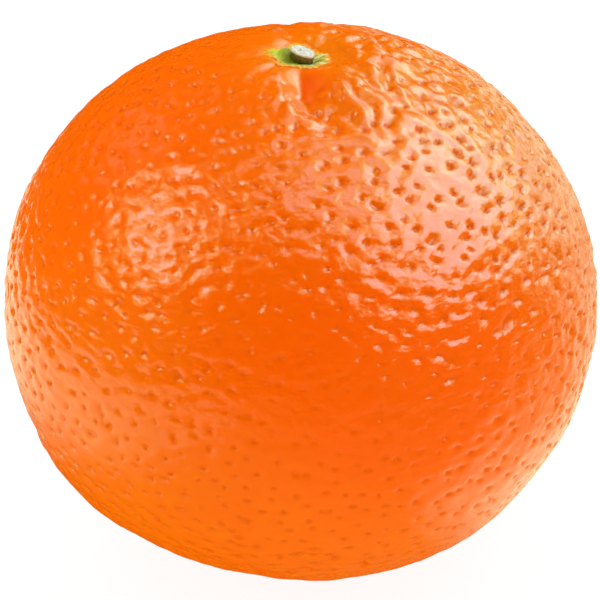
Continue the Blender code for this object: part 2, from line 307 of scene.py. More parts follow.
# The peel's fine relief
peel = {
    "seed": 23,
    "meanRadius": 34.0 * mm,  # turns a size on the skin into an angle
    "pitCount": 2450,
    "pitJitter": 0.21,  # of the pits' spacing
    "pitRadius": (0.43 * mm, 0.69 * mm),
    "pitDepth": (0.20 * mm, 0.38 * mm),
    "depthFollows": 0.6,  # how closely a pit's depth follows its width
    "pitStretch": (1.5**-0.3, 1.5),  # how far a pit is stretched level round the fruit
    "pitRings": [(0.48, 6), (1.00, 9)],  # share of the pit's radius, then corners
    "neighbourClearance": 1.15,  # of a pit's ring from other pits, in their radii
    "ringClearance": 1.38,  # of the filling from a pit, in its radii
    "twinShare": 0.05,
    "twinGap": 0.80 * mm,
    "hollowDepth": 0.14 * mm,  # the wide shallow hollow that each pit lies in
    "hollowRadius": 0.80 * mm,
    "poreCount": 1900,
    "poreRadius": (0.35 * mm, 0.60 * mm),
    "poreDepth": (0.06 * mm, 0.14 * mm),
    # where pits and waves are lower: round the axis, above the equator, half width, share taken off
    "calmPits": [(276, 14, 27, 0.40), (210, 38, 24, 0.45), (300, 8, 20, 0.20), (318, 42, 26, -0.45),
                 (234, 39, 13, 0.30), (315, -20, 22, 0.35), (225, -15, 22, 0.25), (188, 58, 18, -0.55)],
    "calmWaves": [(276, 14, 27, 0.22), (210, 38, 24, 0.45), (232, -8, 30, 0.45), (318, 42, 26, 0.20),
                  (140, 45, 34, 0.55)],
    "waveFalls": (-0.35, 0.10),  # part of the way up at which the waves have gone down and are full
    "wavesBelow": 0.25,
    "pitsBegin": 6.5 * mm,
    "pitsFull": 15.0 * mm,
    "crownPits": (0.35, 0.7),  # a pit's depth and width where they begin, as shares of the full ones
    "pitsBelow": 0.82,  # how wide the pits are below, and over which part of the way up that changes
    "pitsWiden": (-0.25, 0.25),
    "fillCount": 81000,  # corners between the pits, as if there were no pits
    "crownFill": 60000,  # more of them on the whole fruit, of which only those near the stem are used
    "crownFillReach": 17.0 * mm,
    "fillJitter": 0.0012,  # in radians
    "leastGap": 0.15 * mm,
    "lastRing": (1.0 * mm, 20),  # round the lowest point: its radius and its corners
    "lastRingGap": 0.2 * mm,  # kept free round it
    "lumps": [(0.20 * mm, 9.0 * mm, 1), (0.10 * mm, 2.6 * mm, 2)],  # height, size, seed
    # size level round the fruit, size up and down, height, seed
    "waves": [(1.45 * mm, 1.00 * mm, 0.22 * mm, 35), (4.5 * mm, 1.6 * mm, 0.09 * mm, 36)],
    "waveBend": (0.50 * mm, 2.2 * mm, 31),  # how far the waves wander, over what distance, first seed
    "crownWaves": 0.45,  # how high the waves are near the stem, as a share
    # how much smoother the fold is, how quickly and how much wider than its walls, and where that ends
    "foldCalm": (0.8, 3, 1.2),
    "foldSmooth": (8.0 * mm, 11.0 * mm),
    "ridgeHeight": 1.0 * mm,  # wavy ridges that run out from the stem
    "ridgeBegins": (3.0 * mm, 6.0 * mm),
    "ridgeReach": (11.0 * mm, 25.0 * mm),
    "ridgeTurns": 2.7,  # how many go round
    "ridgeSpread": 0.3,  # how quickly there are more of them further out
    "ridgeLength": 3.0 * mm,
    "ridgeWander": (0.05, 3.5 * mm, 41),  # in radians, over what distance, seed
    "ridgeSeed": 45,
    "ridgeRounding": 0.04,  # of the grooves between them
    "ridgeMiddle": 0.2,  # the share of their height that lies level with the skin
    "ridgeSide": 340,  # where the ridges are highest, in degrees
    "ridgeLeast": 0.12,
    "spotFade": 4.0 * mm,  # over this distance from the resting spot, the relief comes in
    "coverFade": (1.5 * mm, 4.5 * mm),  # and between these distances from the axis, under the calyx
}


def scattered(count, draw):
    # unit directions, spread evenly and then moved a little
    spacing = math.sqrt(4 * math.pi / count)
    directions = spiralDirections(count)
    return unitRows(directions + draw.normal(0, peel["pitJitter"] * spacing, directions.shape))


def distanceOf(directions):
    return body["equatorRadius"] * np.hypot(directions[:, 0], directions[:, 1])


def mayHavePits(directions):
    distance = distanceOf(directions)
    return np.where(directions[:, 2] > 0, distance > peel["pitsBegin"], distance > body["restSpotRadius"])


def scatterPits(draw):
    middles = scattered(peel["pitCount"], draw)
    twins = middles[draw.random(len(middles)) < peel["twinShare"]]
    gaps = np.full(len(twins), peel["twinGap"] / peel["meanRadius"])
    middles = np.concatenate([middles, ringsRound(twins, gaps, 1, draw.random(len(twins)))])
    share = draw.random(len(middles))
    radius = between(peel["pitRadius"], share)
    share = peel["depthFollows"] * share + (1 - peel["depthFollows"]) * draw.random(len(middles))
    depth = between(peel["pitDepth"], share)
    pores = scattered(peel["poreCount"], draw)
    poreRadius = draw.uniform(*peel["poreRadius"], len(pores))
    poreDepth = draw.uniform(*peel["poreDepth"], len(pores))
    keep, keepPores = mayHavePits(middles), mayHavePits(pores)
    middles, radius, depth = middles[keep], radius[keep], depth[keep]
    full = easeBetween(distanceOf(middles), peel["pitsBegin"], peel["pitsFull"])
    full = np.where(middles[:, 2] > 0, full, 1.0)
    depth *= between((peel["crownPits"][0], 1), full)
    depth *= 1 - patchShare(middles, peel["calmPits"])
    radius *= between((peel["crownPits"][1], 1), full)
    radius *= between((peel["pitsBelow"], 1), easeBetween(middles[:, 2], *peel["pitsWiden"]))
    longer = draw.uniform(*peel["pitStretch"], len(middles))
    pits = {"middles": middles, "radius": radius, "depth": depth, "longer": longer}
    pores = {"middles": pores[keepPores], "radius": poreRadius[keepPores], "depth": poreDepth[keepPores]}
    return pits, pores


def treeOf(directions):
    tree = kdtree.KDTree(len(directions))
    for index, row in enumerate(directions.tolist()):
        tree.insert(row, index)
    tree.balance()
    return tree


def ringCorners(pits, pitTree, draw):
    # rings of corners round each pit, without those that come too near to another pit
    middles, reach = pits["middles"], pits["radius"] / peel["meanRadius"]
    groups = []
    for share, columns in peel["pitRings"]:
        ring = ringsRound(middles, reach * share, columns, draw.random(len(middles)), pits["longer"])
        owner = np.repeat(np.arange(len(middles)), columns)
        clear = []
        for row, own in zip(ring.tolist(), owner.tolist()):
            near = pitTree.find_n(row, 3)
            clear.append(all(i == own or gap > peel["neighbourClearance"] * reach[i] for _, i, gap in near))
        groups.append(ring[np.array(clear)])
    return groups


def fillCorners(pits, pitTree, draw):
    # an even filling between the pits, closer near the stem
    reach = pits["radius"] / peel["meanRadius"]
    fill = spiralDirections(peel["fillCount"])
    crownFill = spiralDirections(peel["crownFill"])
    nearStem = (crownFill[:, 2] > 0) & (distanceOf(crownFill) < peel["crownFillReach"])
    fill = np.concatenate([fill, crownFill[nearStem]])
    fill = unitRows(fill + draw.normal(0, peel["fillJitter"], fill.shape))
    clear = []
    for row in fill.tolist():
        _, i, gap = pitTree.find(row)
        clear.append(gap > peel["ringClearance"] * reach[i])
    return fill[np.array(clear)]


def withoutCloseOnes(rows):
    tree = treeOf(rows)
    least = peel["leastGap"] / peel["meanRadius"]
    kept = np.ones(len(rows), bool)
    for index, row in enumerate(rows.tolist()):
        if kept[index]:
            for _, other, _ in tree.find_range(row, least):
                if other > index:
                    kept[other] = False
    return rows[kept]


def skinDirections(pits, draw):
    # where the skin's corners stand: pits, their rings and the filling, then a ring round the lowest point
    pitTree = treeOf(pits["middles"])
    groups = [pits["middles"], *ringCorners(pits, pitTree, draw)]
    rows = np.concatenate([*groups, fillCorners(pits, pitTree, draw)])
    lastRadius, lastCorners = peel["lastRing"]
    rows = rows[rows[:, 2] > -math.cos((lastRadius + peel["lastRingGap"]) / peel["meanRadius"])]
    lowest = np.array([[0.0, 0.0, -1.0]])
    lastReach = np.array([lastRadius / peel["meanRadius"]])
    lastRing = ringsRound(lowest, lastReach, lastCorners, np.zeros(1))
    return np.concatenate([withoutCloseOnes(rows), lastRing, lowest])


def outwardFaces(points, faces):
    corners = np.array(faces)
    a, b, c = (points[corners[:, k]] for k in range(3))
    inward = np.einsum("ij,ij->i", np.cross(b - a, c - a), a + b + c) < 0
    corners[inward] = corners[inward][:, ::-1]
    return corners.tolist()


def skinFaces(directions):
    # triangles between the directions, found on a flat chart seen from the lowest point
    flat = [Vector((x / (1 + z), y / (1 + z))) for x, y, z in directions[:-1].tolist()]
    sameWithin = 1e-10
    _, _, faces, origins, _, _ = geometry.delaunay_2d_cdt(flat, [], [], 0, sameWithin)
    faces = [tuple(origins[corner][0] for corner in face) for face in faces]
    lowest = len(directions) - 1
    lastCorners = peel["lastRing"][1]
    first = lowest - lastCorners
    for step in range(lastCorners):
        faces.append((first + step, first + (step + 1) % lastCorners, lowest))
    return outwardFaces(directions, faces)


def bowlDepth(away, radius, depth):
    inside = max(0.0, 1 - (away / radius) ** 2)
    return depth * inside * inside


def pitRelief(directions, pits, pores):
    # how far each corner is pushed in by pits, and how deep in a pit it lies as a share
    radius, depth, longer = pits["radius"], pits["depth"], pits["longer"]
    deepest = peel["pitDepth"][1]
    pitTree, poreTree = treeOf(pits["middles"]), treeOf(pores["middles"])
    aside, other = (rows.tolist() for rows in sideways(pits["middles"]))
    centres = pits["middles"].tolist()
    widest = max(radius.max(), 2 * peel["hollowRadius"]) / peel["meanRadius"]
    pushed = np.zeros(len(directions))
    share = np.zeros(len(directions))
    for index, row in enumerate(directions.tolist()):
        core = hollow = 0.0
        for _, i, _ in pitTree.find_range(row, widest):
            off = [row[k] - centres[i][k] for k in range(3)]
            along = sum(off[k] * aside[i][k] for k in range(3)) / longer[i]
            across = sum(off[k] * other[i][k] for k in range(3)) * longer[i]
            away = math.hypot(along, across) * peel["meanRadius"]
            core = max(core, bowlDepth(away, radius[i], depth[i]))
            soft = math.exp(-((away / peel["hollowRadius"]) ** 2))
            hollow += peel["hollowDepth"] * soft * depth[i] / deepest
        _, i, gap = poreTree.find(row)
        core = max(core, bowlDepth(gap * peel["meanRadius"], pores["radius"][i], pores["depth"][i]))
        pushed[index] = core + hollow
        share[index] = core
    return pushed, share / deepest


def landWaves(points):
    # smooth swellings that wander, longer level round the fruit than up and down
    far, over, bendSeed = peel["waveBend"]
    wandering = points + far * np.stack([noiseAt(points, over, bendSeed + k) for k in range(3)], 1)
    rise = np.zeros(len(points))
    for level, upright, height, seed in peel["waves"]:
        rise += height * noiseAt(wandering / [level, level, upright], 1.0, seed)
    return rise


def stemRidges(points, distance):
    straight = np.arctan2(points[:, 1], points[:, 0])
    angle = straight + noiseSum(points, [peel["ridgeWander"]])
    around = peel["ridgeTurns"] * (distance / mm) ** peel["ridgeSpread"]
    places = np.stack([np.cos(angle) * around, np.sin(angle) * around, distance / peel["ridgeLength"]], 1)
    billow = np.abs(noiseAt(places, 1.0, peel["ridgeSeed"]))
    height = peel["ridgeHeight"] * between((peel["ridgeLeast"], 1), facing(straight, peel["ridgeSide"]))
    return height * (np.sqrt(billow**2 + peel["ridgeRounding"] ** 2) - peel["ridgeMiddle"])


def makeFruit(finish):
    draw = np.random.default_rng(peel["seed"])
    pits, pores = scatterPits(draw)
    directions = skinDirections(pits, draw)
    faces = skinFaces(directions)
    print("skin charted:", len(directions), "corners")
    smooth = bodyPoints(directions)
    distance = np.hypot(smooth[:, 0], smooth[:, 1])
    angle = np.arctan2(smooth[:, 1], smooth[:, 0])
    upper = directions[:, 2] > 0
    pushed, pitShare = pitRelief(directions, pits, pores)
    rise = noiseSum(smooth, peel["lumps"]) - pushed
    crown = np.where(upper, 1 - easeBetween(distance, *peel["ridgeReach"]), 0.0)
    smoother, quicker, wider = peel["foldCalm"]
    clear = 1 - smoother * np.where(upper, np.clip(quicker * foldShare(distance, angle, wider), 0, 1), 0.0)
    clear = between((clear, 1), easeBetween(distance, *peel["foldSmooth"]))
    lively = clear * between((1, peel["crownWaves"]), crown) * (1 - patchShare(directions, peel["calmWaves"]))
    lively *= between((peel["wavesBelow"], 1), easeBetween(directions[:, 2], *peel["waveFalls"]))
    rise += landWaves(smooth) * lively
    rise += stemRidges(smooth, distance) * clear * crown * easeBetween(distance, *peel["ridgeBegins"])
    spot = body["restSpotRadius"]
    rise *= np.where(upper, 1.0, easeBetween(distance, spot, spot + peel["spotFade"]))
    rise *= np.where(upper, easeBetween(distance, *peel["coverFade"]), 1.0)
    normals = unitRows(directions / np.array([1, 1, body["poleRadius"] / body["equatorRadius"]]))
    points = smooth + normals * rise[:, None]
    scar = ~upper & (distance < body["scarRadius"])
    points[scar, 2] += body["scarDepth"] * (1 - (distance[scar] / body["scarRadius"]) ** 2)
    points[:, 2] = np.maximum(points[:, 2], 0.0)
    points += cadShift("fruit", smooth)
    piece = addPiece("fruitPeel", points, faces, finish, "peel", "fruit")
    addShares(piece, {
        "pitShare": pitShare,
        "fineShare": np.where(upper, 1.0, peelFinish["fineBelow"]) * lively,
        "crownShare": np.where(upper, hump(distance, peelFinish["crownReach"]), 0.0),
        # painted shade on the fold's right wall
        "foldShare": np.where(upper, foldShadeShare(distance, angle), 0.0),
        "deepShare": patchShare(directions, peelFinish["deepPatches"]),
        "goldenShare": patchShare(directions, peelFinish["goldenPatches"]),
    })
    return piece


def setInputs(tree, node, values):
    # each value is another node's output, a number, or a colour's or vector's three parts
    for name, value in values.items():
        socket = node.inputs[name]
        if isinstance(value, bpy.types.NodeSocket):
            tree.links.new(value, socket)
        else:
            socket.default_value = (*value, 1) if socket.type == "RGBA" else value


def newNode(tree, kind, values, **settings):
    node = tree.nodes.new("ShaderNode" + kind)
    for name, setting in settings.items():
        setattr(node, name, setting)
    setInputs(tree, node, values)
    return node


def newFinish(name):
    finish = bpy.data.materials.new(name)
    finish.use_nodes = True
    return finish, finish.node_tree, finish.node_tree.nodes["Principled BSDF"]


def objectPlace(tree):
    return newNode(tree, "TexCoord", {}).outputs["Object"]


def mixColour(tree, factor, first, second, blend="MIX"):
    # a mix's sockets share their names, so these are found by their place
    mix = newNode(tree, "Mix", {}, data_type="RGBA", blend_type=blend)
    setInputs(tree, mix, {0: factor, 6: first, 7: second})
    return mix.outputs[2]


def rangeOf(tree, value, fromEnds, toEnds=(0.0, 1.0)):
    values = dict(zip(("Value", "From Min", "From Max", "To Min", "To Max"), (value, *fromEnds, *toEnds)))
    return newNode(tree, "MapRange", values).outputs["Result"]


def mathNode(tree, operation, *values):
    return newNode(tree, "Math", dict(enumerate(values)), operation=operation).outputs[0]


def vectorNode(tree, operation, *values):
    node = newNode(tree, "VectorMath", {}, operation=operation)
    setInputs(tree, node, dict(enumerate(values)))
    return node.outputs["Value" if operation == "LENGTH" else "Vector"]


def product(tree, first, *others):
    for other in others:
        first = mathNode(tree, "MULTIPLY", first, other)
    return first


def noiseNode(tree, place, size, detail, roughness=0.5):
    values = {"Vector": place, "Scale": 1 / size, "Detail": detail, "Roughness": roughness}
    return newNode(tree, "TexNoise", values).outputs["Fac"]


def attributeNode(tree, name):
    return newNode(tree, "Attribute", {}, attribute_name=name).outputs["Fac"]


def bumpNode(tree, height, distance):
    return newNode(tree, "Bump", {"Height": height, "Distance": distance, "Strength": 1.0}).outputs["Normal"]


peelFinish = {
    "orange": (0.76, 0.142, 0.0003),
    "redder": (0.75, 0.126, 0.0002),
    "yellower": (0.75, 0.176, 0.0004),
    "patches": (16 * mm, 3.0),  # size and detail of the redder and the less red parts
    "patchEdge": (0.35, 0.65),
    "mottle": (2.6 * mm, 4.0, 0.6),  # size, detail and roughness of the yellower spots
    "mottleEdge": ((0.45, 0.75), (0.0, 0.5)),
    "deeper": (0.81, 0.097, 0.0001),
    "deepPatches": [(280, 12, 34, 1.0), (310, 8, 30, 0.5), (206, 50, 34, 0.9)],  # as for the calm patches
    "crown": (0.76, 0.175, 0.0015),
    "crownReach": 5.5 * mm,
    # fold: painted shade on the fold's right wall, which faces away from the lights, darker and redder
    "fold": (0.78, 0.080, 0.0010),
    "foldShadeQuicker": 1.5,
    "foldShadeSide": (-0.2 * mm, 0.3 * mm),  # the painted shade begins here, to the right of its bottom
    "foldEnds": (7 * mm, 12 * mm),
    # the pits' painted shade, darker and redder towards their bottoms
    "pit": (0.76, 0.110, 0.0004),
    "pitShadeEdge": ((0.05, 0.75), (0.0, 0.85)),  # painted shade in the pits: between which shares of their depth, and how strongly
    "golden": (0.83, 1.02, 1.0),  # by what the colour is multiplied
    "goldenPatches": [(352, 42, 36, 0.9), (10, 0, 34, 0.4)],
    "roughness": ((0.25, 0.9), (0.26, 0.30)),  # under the wax: between which shares of the pits' depth, then on the land and in a pit
    "sheenLevel": 0.25,
    "sheenTint": (1.0, 0.91, 0.62),
    "wax": ((0.20, 0.75), (0.85, 0.12)),  # between which shares of the pits' depth, then how strong it is on the land and in a pit
    "waxRoughness": 0.11,
    "grain": (0.95 * mm, 1.5),  # size, detail
    "grainStretch": (0.8, 0.8, 1.25),
    "grainHeight": 0.17 * mm,
    "fineBelow": 0.5,  # how high the grain is on the lower half
    "glowShare": 0.18,  # how much light passes through the skin
    "glowReach": 1.6 * mm,  # how far, and how far each colour goes as a share of that
    "glowColour": (1.0, 0.30, 0.08),
}


# how much painted shade lies on the fold's right wall, which faces away from the lights
def foldShadeShare(distance, angle):
    share = np.clip(peelFinish["foldShadeQuicker"] * foldShare(distance, angle), 0, 1)
    share *= easeBetween(foldAcross(distance, angle)[0], *peelFinish["foldShadeSide"])
    return share * (1 - easeBetween(distance, *peelFinish["foldEnds"]))


def makePeelFinish():
    finish, tree, shader = newFinish("waxyPeel")
    place = objectPlace(tree)
    pit = attributeNode(tree, "pitShare")
    patches = rangeOf(tree, noiseNode(tree, place, *peelFinish["patches"]), peelFinish["patchEdge"])
    mottle = rangeOf(tree, noiseNode(tree, place, *peelFinish["mottle"]), *peelFinish["mottleEdge"])
    colour = mixColour(tree, patches, peelFinish["redder"], peelFinish["orange"])
    colour = mixColour(tree, mottle, colour, peelFinish["yellower"])
    colour = mixColour(tree, attributeNode(tree, "deepShare"), colour, peelFinish["deeper"])
    colour = mixColour(tree, attributeNode(tree, "crownShare"), colour, peelFinish["crown"])
    # painted shade on the fold's right wall
    colour = mixColour(tree, attributeNode(tree, "foldShare"), colour, peelFinish["fold"])
    # painted shade in the pits, stronger the deeper
    colour = mixColour(tree, rangeOf(tree, pit, *peelFinish["pitShadeEdge"]), colour, peelFinish["pit"])
    colour = mixColour(tree, attributeNode(tree, "goldenShare"), colour, peelFinish["golden"], "MULTIPLY")
    flatter = vectorNode(tree, "MULTIPLY", place, peelFinish["grainStretch"])
    grain = noiseNode(tree, flatter, *peelFinish["grain"])
    bump = bumpNode(tree, product(tree, grain, attributeNode(tree, "fineShare")), peelFinish["grainHeight"])
    setInputs(tree, shader, {
        "Base Color": colour,
        "Roughness": rangeOf(tree, pit, *peelFinish["roughness"]),
        "Normal": bump,
        "Coat Normal": bump,
        "Specular IOR Level": peelFinish["sheenLevel"],
        "Specular Tint": peelFinish["sheenTint"],
        "Coat Weight": rangeOf(tree, pit, *peelFinish["wax"]),
        "Coat Roughness": peelFinish["waxRoughness"],
        "Subsurface Weight": peelFinish["glowShare"],
        "Subsurface Radius": peelFinish["glowColour"],
        "Subsurface Scale": peelFinish["glowReach"],
    })
    return finish


makeFruit(makePeelFinish())

# where the fruit stands, for what stands on it
shiftSamples = 20000
originShift = cadShift("fruit", bodyPoints(spiralDirections(shiftSamples)))


# The calyx: a low green star with torn edges that lies in the dip, and a green lump beside the stub
calyx = {
    "middle": (0.0, -0.3 * mm),
    "lobes": [(97, 4.1), (176, 4.4), (232, 3.8), (288, 3.6), (352, 3.6)],  # degrees, length in mm
    "valleyRadius": 2.9 * mm,
    "lobeSharpness": 1.1,
    "innerRadius": 0.80 * mm,
    "thickness": (0.20 * mm, 0.06 * mm),  # at the middle, at the edge
    "thinning": 1.3,  # how late it thins
    "undersideGap": 0.12 * mm,  # how far the underside lies below the skin
    "undersideRings": (1.0, 0.7, 0.35),
    # each lump's place, half width and height, in mm
    "lumps": [(-1.50, 0.10, 0.95, 1.10), (-3.10, 0.15, 0.85, 0.30), (2.30, -0.60, 0.70, 0.22)],
    "columns": 480,
    "rows": 40,
    # height, size and seed, the edge's on a circle of radius 1
    "ragged": [(0.46 * mm, 0.16, 3), (0.276 * mm, 0.06, 4)],
    "fringe": [(0.22 * mm, 0.030, 5), (0.154 * mm, 0.018, 6)],
    "fringeLate": 3,  # how close to the edge the fringe begins
    "wobble": [(0.10 * mm, 0.8 * mm, 9), (0.06 * mm, 0.3 * mm, 10)],
    "veinHeight": 0.07 * mm,
    "veinRise": 4,  # how quickly veins begin round the stub
    "veinTurns": 5.5,  # how many go round
    "veinLength": 1.2,  # how much they change on their way out
    "veinSeed": 8,
}


def lobeOutline(angles):
    # the calyx's reach from its middle at each angle, in metres
    tips = [math.radians(at) for at, _ in calyx["lobes"]]
    reach = np.zeros_like(angles)
    for index, (_, length) in enumerate(calyx["lobes"]):
        tip = tips[index]
        before = (tips[index - 1] - tip) % math.tau - math.tau
        after = (tips[(index + 1) % len(tips)] - tip) % math.tau
        turn = turnFrom(angles, tip)
        share = 1 - np.where(turn < 0, turn / (before / 2), turn / (after / 2))
        grown = np.clip(share, 0, 1) ** calyx["lobeSharpness"]
        grown = between((calyx["valleyRadius"], length * mm), grown)
        reach = np.where(share >= 0, np.maximum(reach, grown), reach)
    return reach


def unitCircle(columns):
    angles = np.arange(columns) / columns * math.tau
    return angles, np.stack([np.cos(angles), np.sin(angles), np.zeros(columns)], 1)


def closedFaces(rows, columns):
    # four-sided faces between rings of points, and a fan to one more point at each end
    faces = []
    for row in range(rows - 1):
        for column in range(columns):
            after = (column + 1) % columns
            a = row * columns
            b = a + columns
            faces.append((a + column, b + column, b + after, a + after))
    start = rows * columns
    last = start - columns
    faces += [(k, (k + 1) % columns, start) for k in range(columns)]
    faces += [(last + (k + 1) % columns, last + k, start + 1) for k in range(columns)]
    return faces


def plateau(points, x, y, halfWidth):
    # 1 round this place in mm, falling steeply at the half width
    away = np.hypot(points[:, 0] - x * mm, points[:, 1] - y * mm) / (halfWidth * mm)
    return np.exp(-(away**4))


def makeCalyx(finish):
    columns, rows = calyx["columns"], calyx["rows"]
    angles, circle = unitCircle(columns)
    outline = lobeOutline(angles) + noiseSum(circle, calyx["ragged"])
    fringe = noiseSum(circle, calyx["fringe"])
    middle = np.array([*calyx["middle"], 0.0])

    def ring(share, rise):
        # points round the middle, this far out and this far above the skin
        reach = outline + fringe * share ** calyx["fringeLate"]
        points = circle * between((calyx["innerRadius"], reach), share)[:, None] + middle
        distance = np.hypot(points[:, 0], points[:, 1])
        points[:, 2] = dipHeight(distance, np.arctan2(points[:, 1], points[:, 0])) + rise
        return points

    rings, edges, veins = [], [], []
    for row in range(rows + 1):
        share = row / rows
        points = ring(share, between(calyx["thickness"], share ** calyx["thinning"]))
        for x, y, halfWidth, height in calyx["lumps"]:
            points[:, 2] += height * mm * plateau(points, x, y, halfWidth)
        outwards = np.full((columns, 1), share * calyx["veinLength"])
        places = np.concatenate([circle[:, :2] * calyx["veinTurns"], outwards], 1)
        vein = noiseAt(places, 1.0, calyx["veinSeed"])
        points[:, 2] += calyx["veinHeight"] * vein * min(1.0, calyx["veinRise"] * share)
        rings.append(points)
        edges.append(np.full(columns, share))
        veins.append(vein)
    for share in calyx["undersideRings"]:
        rings.append(ring(share, -calyx["undersideGap"]))
        edges.append(np.full(columns, share))
        veins.append(np.zeros(columns))
    points = np.concatenate(rings)
    top = np.arange(len(points)) < (rows + 1) * columns
    points[top, 2] += noiseSum(points, calyx["wobble"])[top]
    low = float(dipHeight(np.hypot(*calyx["middle"]), -math.pi / 2))
    ends = [[*calyx["middle"], low + calyx["thickness"][0]], [*calyx["middle"], low - calyx["undersideGap"]]]
    points = np.concatenate([points, ends])
    x, y, halfWidth, _ = calyx["lumps"][0]
    lump = plateau(points, x, y, halfWidth * calyxFinish["lumpColour"])
    first, last = calyxFinish["veinSide"]
    right = np.clip((points[:, 0] - first) / (last - first), 0, 1)
    points += originShift
    faces = closedFaces(len(rings), columns)
    piece = addPiece("calyxStar", points, faces, finish, "calyx_green", "calyx")
    addShares(piece, {
        "edgeShare": np.append(np.concatenate(edges), [0.0, 0.0]),
        "veinShare": np.append(np.concatenate(veins), [0.0, 0.0]),
        "lumpShare": lump,
        "rightShare": right,
        "freshShare": plateau(points, *calyxFinish["freshPlace"]),
    })
    return piece


calyxFinish = {
    "green": (0.26, 0.33, 0.004),
    "fresh": (0.34, 0.44, 0.004),
    "freshPlace": (-3.0, -0.1, 1.1),  # where it is and its half width, in mm
    "darkGreen": (0.085, 0.100, 0.004),
    "darkEdge": ((0.32, 0.44), (0.55, 0.0)),  # between which values of the speckles, and how strongly
    "olive": (0.19, 0.20, 0.003),
    "yellow": (0.56, 0.46, 0.020),
    "yellowEdge": ((0.45, 0.90), (0.0, 1.5)),  # between which shares of the way out, and how strongly
    "tornEdge": ((0.36, 0.58), (0.2, 1.0)),  # how far the speckles break that up
    "orange": (0.78, 0.22, 0.003),
    "orangeEdge": ((0.74, 0.97), (0.0, 0.95)),
    "vein": (0.62, 0.60, 0.26),
    "veinEdge": (0.02, 0.30),
    "veinSide": (-2 * mm, 2 * mm),  # pale veins begin at the first, on the left, and are full at the second
    "lumpColour": 1.25,  # how far its colour reaches, in half widths of the lump
    "patches": (1.2 * mm, 3.0),  # size, detail
    "patchEdge": (0.40, 0.62),
    "speckles": (0.45 * mm, 3.0, 0.6),  # size, detail, roughness
    "speckleHeight": 0.10 * mm,
    "roughness": 0.55,
    "glowShare": 0.1,
    "glowReach": 0.4 * mm,
}


def makeCalyxFinish():
    finish, tree, shader = newFinish("calyxGreen")
    place = objectPlace(tree)
    edgeShare = attributeNode(tree, "edgeShare")
    patches = rangeOf(tree, noiseNode(tree, place, *calyxFinish["patches"]), calyxFinish["patchEdge"])
    speckle = noiseNode(tree, place, *calyxFinish["speckles"])
    torn = rangeOf(tree, edgeShare, *calyxFinish["yellowEdge"])
    torn = product(tree, torn, rangeOf(tree, speckle, *calyxFinish["tornEdge"]))
    vein = rangeOf(tree, attributeNode(tree, "veinShare"), calyxFinish["veinEdge"])
    vein = product(tree, vein, attributeNode(tree, "rightShare"))
    colour = mixColour(tree, patches, calyxFinish["green"], calyxFinish["olive"])
    for share, name in (
        (attributeNode(tree, "lumpShare"), "olive"),
        (attributeNode(tree, "freshShare"), "fresh"),
        (rangeOf(tree, speckle, *calyxFinish["darkEdge"]), "darkGreen"),
        (torn, "yellow"),
        (rangeOf(tree, edgeShare, *calyxFinish["orangeEdge"]), "orange"),
        (vein, "vein"),
    ):
        colour = mixColour(tree, share, colour, calyxFinish[name])
    setInputs(tree, shader, {
        "Base Color": colour,
        "Roughness": calyxFinish["roughness"],
        "Subsurface Weight": calyxFinish["glowShare"],
        "Subsurface Scale": calyxFinish["glowReach"],
        "Normal": bumpNode(tree, speckle, calyxFinish["speckleHeight"]),
    })
    return finish


makeCalyx(makeCalyxFinish())


# The stub of the stem: a short stalk that widens towards its slanted cut
stem = {
    "middle": (0.30 * mm, -0.6 * mm),
    "topRadius": 1.45 * mm,
    "footRadius": 0.85 * mm,
    "flare": 1.8,  # how late the stalk widens
    "cutHeight": 1.90 * mm,
    "lean": 0.35 * mm,  # how far the foot stands to the right of the cut
    "footHeight": 0.10 * mm,
    "slant": 0.31,
    "rimHeight": 0.06 * mm,
    "rimPlace": (0.90, 0.08),  # share of the way out, half width
    "edgeDrop": (0.12 * mm, 14),  # how far the cut's edge is rounded down, and how late
    "sideDrop": 0.14 * mm,  # how far below the cut the side begins
    "uneven": [(0.07, 0.9, 11), (0.03, 0.25, 14)],  # share, size on a circle of radius 1, seed
    "rough": [(0.06 * mm, 0.45 * mm, 12), (0.03 * mm, 0.20 * mm, 13)],  # height, size, seed
    "faceRough": 0.8,  # how rough the cut is, beside the bark
    "ribs": 11,
    "ribDepth": 0.05,
    "ribWander": (2, 0.7, 15),  # in radians, size, seed
    "ribRise": 3,  # how quickly the ribs begin below the cut
    "pith": (-0.35 * mm, 0.10 * mm),
    "pithRadius": 0.16 * mm,
    "pithDepth": 0.10 * mm,
    "columns": 132,
    "sideRows": 24,
    "faceRows": 18,
}


